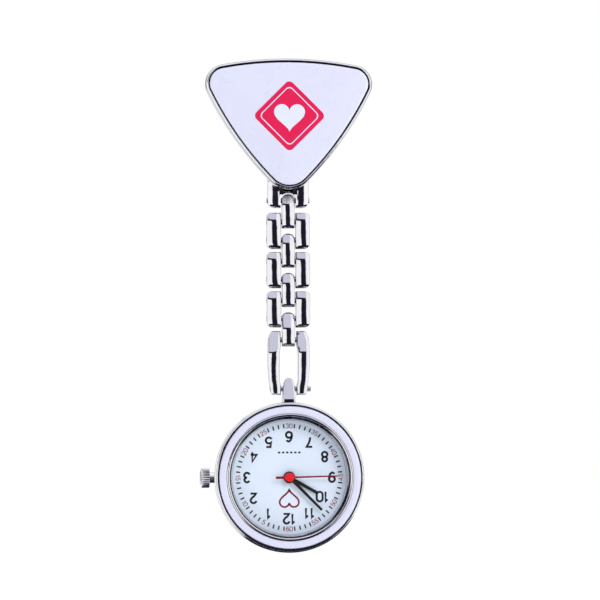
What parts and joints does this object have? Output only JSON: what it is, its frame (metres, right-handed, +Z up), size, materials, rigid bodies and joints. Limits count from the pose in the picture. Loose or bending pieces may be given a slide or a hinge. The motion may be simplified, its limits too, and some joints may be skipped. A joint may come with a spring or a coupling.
{
  "type": "fob watch",
  "caption": "Pin-on fob watch: enamelled triangular badge brooch, hinged metal link chain, and a round quartz watch with second hand that hangs upside down.",
  "frame": {"origin": "middle of the closed brooch needle, where the garment holds the watch", "axes": "+Z up towards the brooch's straight side, +Y from the dial's face to the case back, towards the wearer, +X to the right for someone facing the dial"},
  "size_m": [0.0323, 0.0078, 0.0924],
  "materials": {
    "bright_steel": "polished chromium plate",
    "brushed_steel": "satin",
    "dark_steel": "dark satin",
    "brass": "satin",
    "copper_wire": null,
    "soft_iron": "rolled soft iron",
    "pale_enamel": "glossy cold enamel",
    "clear_crystal": "clear polished",
    "dial_paint": "fine matt lacquer",
    "black_paint": "gloss black",
    "red_paint": "gloss red",
    "white_plastic": "moulded",
    "board_green": "solder mask",
    "magnet": "dark sintered magnet"
  },
  "bodies": {
    "brooch": {"brooch_tray": "bright_steel", "brooch_enamel": "pale_enamel", "pin_bar": "brushed_steel", "needle_rivet": "bright_steel", "catch_shell": "brushed_steel", "chain_fork": "bright_steel", "fork_pin": "brushed_steel"},
    "needle": {"needle": "bright_steel"},
    "catch": {"catch_sleeve": "bright_steel"},
    "centre_link_1": {"centre_link_1": "bright_steel"},
    "outer_link_1": {"outer_link_1_left": "bright_steel", "outer_link_1_right": "bright_steel", "link_pin_1a": "brushed_steel", "link_pin_1b": "brushed_steel"},
    "centre_link_2": {"centre_link_2": "bright_steel"},
    "outer_link_2": {"outer_link_2_left": "bright_steel", "outer_link_2_right": "bright_steel", "link_pin_2a": "brushed_steel", "link_pin_2b": "brushed_steel"},
    "centre_link_3": {"centre_link_3": "bright_steel"},
    "outer_link_3": {"outer_link_3_left": "bright_steel", "outer_link_3_right": "bright_steel", "link_pin_3a": "brushed_steel", "link_pin_3b": "brushed_steel"},
    "centre_link_4": {"centre_link_4": "bright_steel"},
    "end_link": {"end_link_left": "bright_steel", "end_link_right": "bright_steel", "end_link_pin": "brushed_steel", "lug_bar": "brushed_steel"},
    "watch": {"watch_case": "bright_steel", "bezel": "bright_steel", "bezel_enamel": "pale_enamel", "crystal": "clear_crystal", "rehaut_ring": "dark_steel", "dial": "dial_paint", "movement_ring": "white_plastic", "main_plate": "brass", "train_bridge": "brass", "coil": "copper_wire", "stator": "soft_iron", "circuit_board": "board_green", "battery": "bright_steel", "battery_strap": "brushed_steel", "case_back": "brushed_steel", "crown_tube": "brushed_steel"},
    "seconds": {"seconds_wheel": "white_plastic", "second_hand": "red_paint"},
    "rotor": {"rotor": "magnet"},
    "intermediate": {"intermediate_wheel": "white_plastic"},
    "third": {"third_wheel": "brass"},
    "minutes": {"centre_wheel": "brass", "cannon_pinion": "bright_steel", "minute_hand": "black_paint"},
    "minute_wheel": {"minute_wheel": "brass"},
    "setting_wheel": {"setting_wheel": "dark_steel"},
    "hours": {"hour_wheel": "brass", "hour_hand": "black_paint"},
    "crown_clutch": {"clutch_pinion": "bright_steel"},
    "crown_and_stem": {"crown": "bright_steel", "winding_stem": "brushed_steel"}
  },
  "joints": [
    {"name": "needle_hinge", "type": "hinge", "parent": "brooch", "child": "needle", "pos_m": [-0.0093, 0, 0], "axis": [0, 0, 1], "range_deg": [0, 75]},
    {"name": "catch_turn", "type": "hinge", "parent": "brooch", "child": "catch", "pos_m": [0.009, 0, 0], "axis": [-1, 0, 0], "range_deg": [0, 120]},
    {"name": "centre_link_1_swing", "type": "hinge", "parent": "brooch", "child": "centre_link_1", "pos_m": [0, -0.00115, -0.01899], "axis": [-1, 0, 0], "range_deg": [-20, 20]},
    {"name": "outer_link_1_swing", "type": "hinge", "parent": "centre_link_1", "child": "outer_link_1", "pos_m": [0, -0.00115, -0.02299], "axis": [-1, 0, 0], "range_deg": [-20, 20]},
    {"name": "centre_link_2_swing", "type": "hinge", "parent": "outer_link_1", "child": "centre_link_2", "pos_m": [0, -0.00115, -0.02638], "axis": [-1, 0, 0], "range_deg": [-20, 20]},
    {"name": "outer_link_2_swing", "type": "hinge", "parent": "centre_link_2", "child": "outer_link_2", "pos_m": [0, -0.00115, -0.03038], "axis": [-1, 0, 0], "range_deg": [-20, 20]},
    {"name": "centre_link_3_swing", "type": "hinge", "parent": "outer_link_2", "child": "centre_link_3", "pos_m": [0, -0.00115, -0.03376], "axis": [-1, 0, 0], "range_deg": [-20, 20]},
    {"name": "outer_link_3_swing", "type": "hinge", "parent": "centre_link_3", "child": "outer_link_3", "pos_m": [0, -0.00115, -0.03777], "axis": [-1, 0, 0], "range_deg": [-20, 20]},
    {"name": "centre_link_4_swing", "type": "hinge", "parent": "outer_link_3", "child": "centre_link_4", "pos_m": [0, -0.00115, -0.04115], "axis": [-1, 0, 0], "range_deg": [-20, 20]},
    {"name": "end_link_swing", "type": "hinge", "parent": "centre_link_4", "child": "end_link", "pos_m": [0, -0.00115, -0.04516], "axis": [-1, 0, 0], "range_deg": [-20, 20]},
    {"name": "watch_swing", "type": "hinge", "parent": "end_link", "child": "watch", "pos_m": [0, -0.00115, -0.05433], "axis": [-1, 0, 0], "range_deg": [-40, 40]},
    {"name": "seconds_spin", "type": "hinge", "parent": "watch", "child": "seconds", "pos_m": [0, -0.00115, -0.0709], "axis": [0, 1, 0], "continuous": true},
    {"name": "rotor_spin", "type": "hinge", "parent": "watch", "child": "rotor", "pos_m": [0.00165, -0.00115, -0.07472], "axis": [0, 1, 0], "continuous": true},
    {"name": "intermediate_spin", "type": "hinge", "parent": "watch", "child": "intermediate", "pos_m": [0.00115, -0.00115, -0.0729], "axis": [0, 1, 0], "continuous": true},
    {"name": "third_spin", "type": "hinge", "parent": "watch", "child": "third", "pos_m": [0.00216, -0.00115, -0.07011], "axis": [0, 1, 0], "continuous": true},
    {"name": "minutes_spin", "type": "hinge", "parent": "watch", "child": "minutes", "pos_m": [0, -0.00115, -0.0709], "axis": [0, 1, 0], "continuous": true},
    {"name": "minute_wheel_spin", "type": "hinge", "parent": "watch", "child": "minute_wheel", "pos_m": [-0.00187, -0.00115, -0.06982], "axis": [0, 1, 0], "continuous": true},
    {"name": "setting_wheel_spin", "type": "hinge", "parent": "watch", "child": "setting_wheel", "pos_m": [-0.00419, -0.00115, -0.0707], "axis": [0, 1, 0], "continuous": true},
    {"name": "hours_spin", "type": "hinge", "parent": "watch", "child": "hours", "pos_m": [0, -0.00115, -0.0709], "axis": [0, 1, 0], "continuous": true},
    {"name": "crown_turn", "type": "hinge", "parent": "watch", "child": "crown_clutch", "pos_m": [-0.0148, -0.00025, -0.0709], "axis": [-1, 0, 0], "continuous": true},
    {"name": "crown_pull", "type": "slide", "parent": "crown_clutch", "child": "crown_and_stem", "axis": [-1, 0, 0], "range_m": [0, 0.0012]}
  ],
  "couplings": [
    {"joint": "rotor_spin", "follows": "seconds_spin", "ratio": 30},
    {"joint": "intermediate_spin", "follows": "seconds_spin", "ratio": -5},
    {"joint": "third_spin", "follows": "seconds_spin", "ratio": -0.13333},
    {"joint": "minutes_spin", "follows": "seconds_spin", "ratio": 0.016667},
    {"joint": "minute_wheel_spin", "follows": "seconds_spin", "ratio": -0.0055556},
    {"joint": "setting_wheel_spin", "follows": "seconds_spin", "ratio": 0.010417},
    {"joint": "hours_spin", "follows": "seconds_spin", "ratio": 0.0013889}
  ]
}
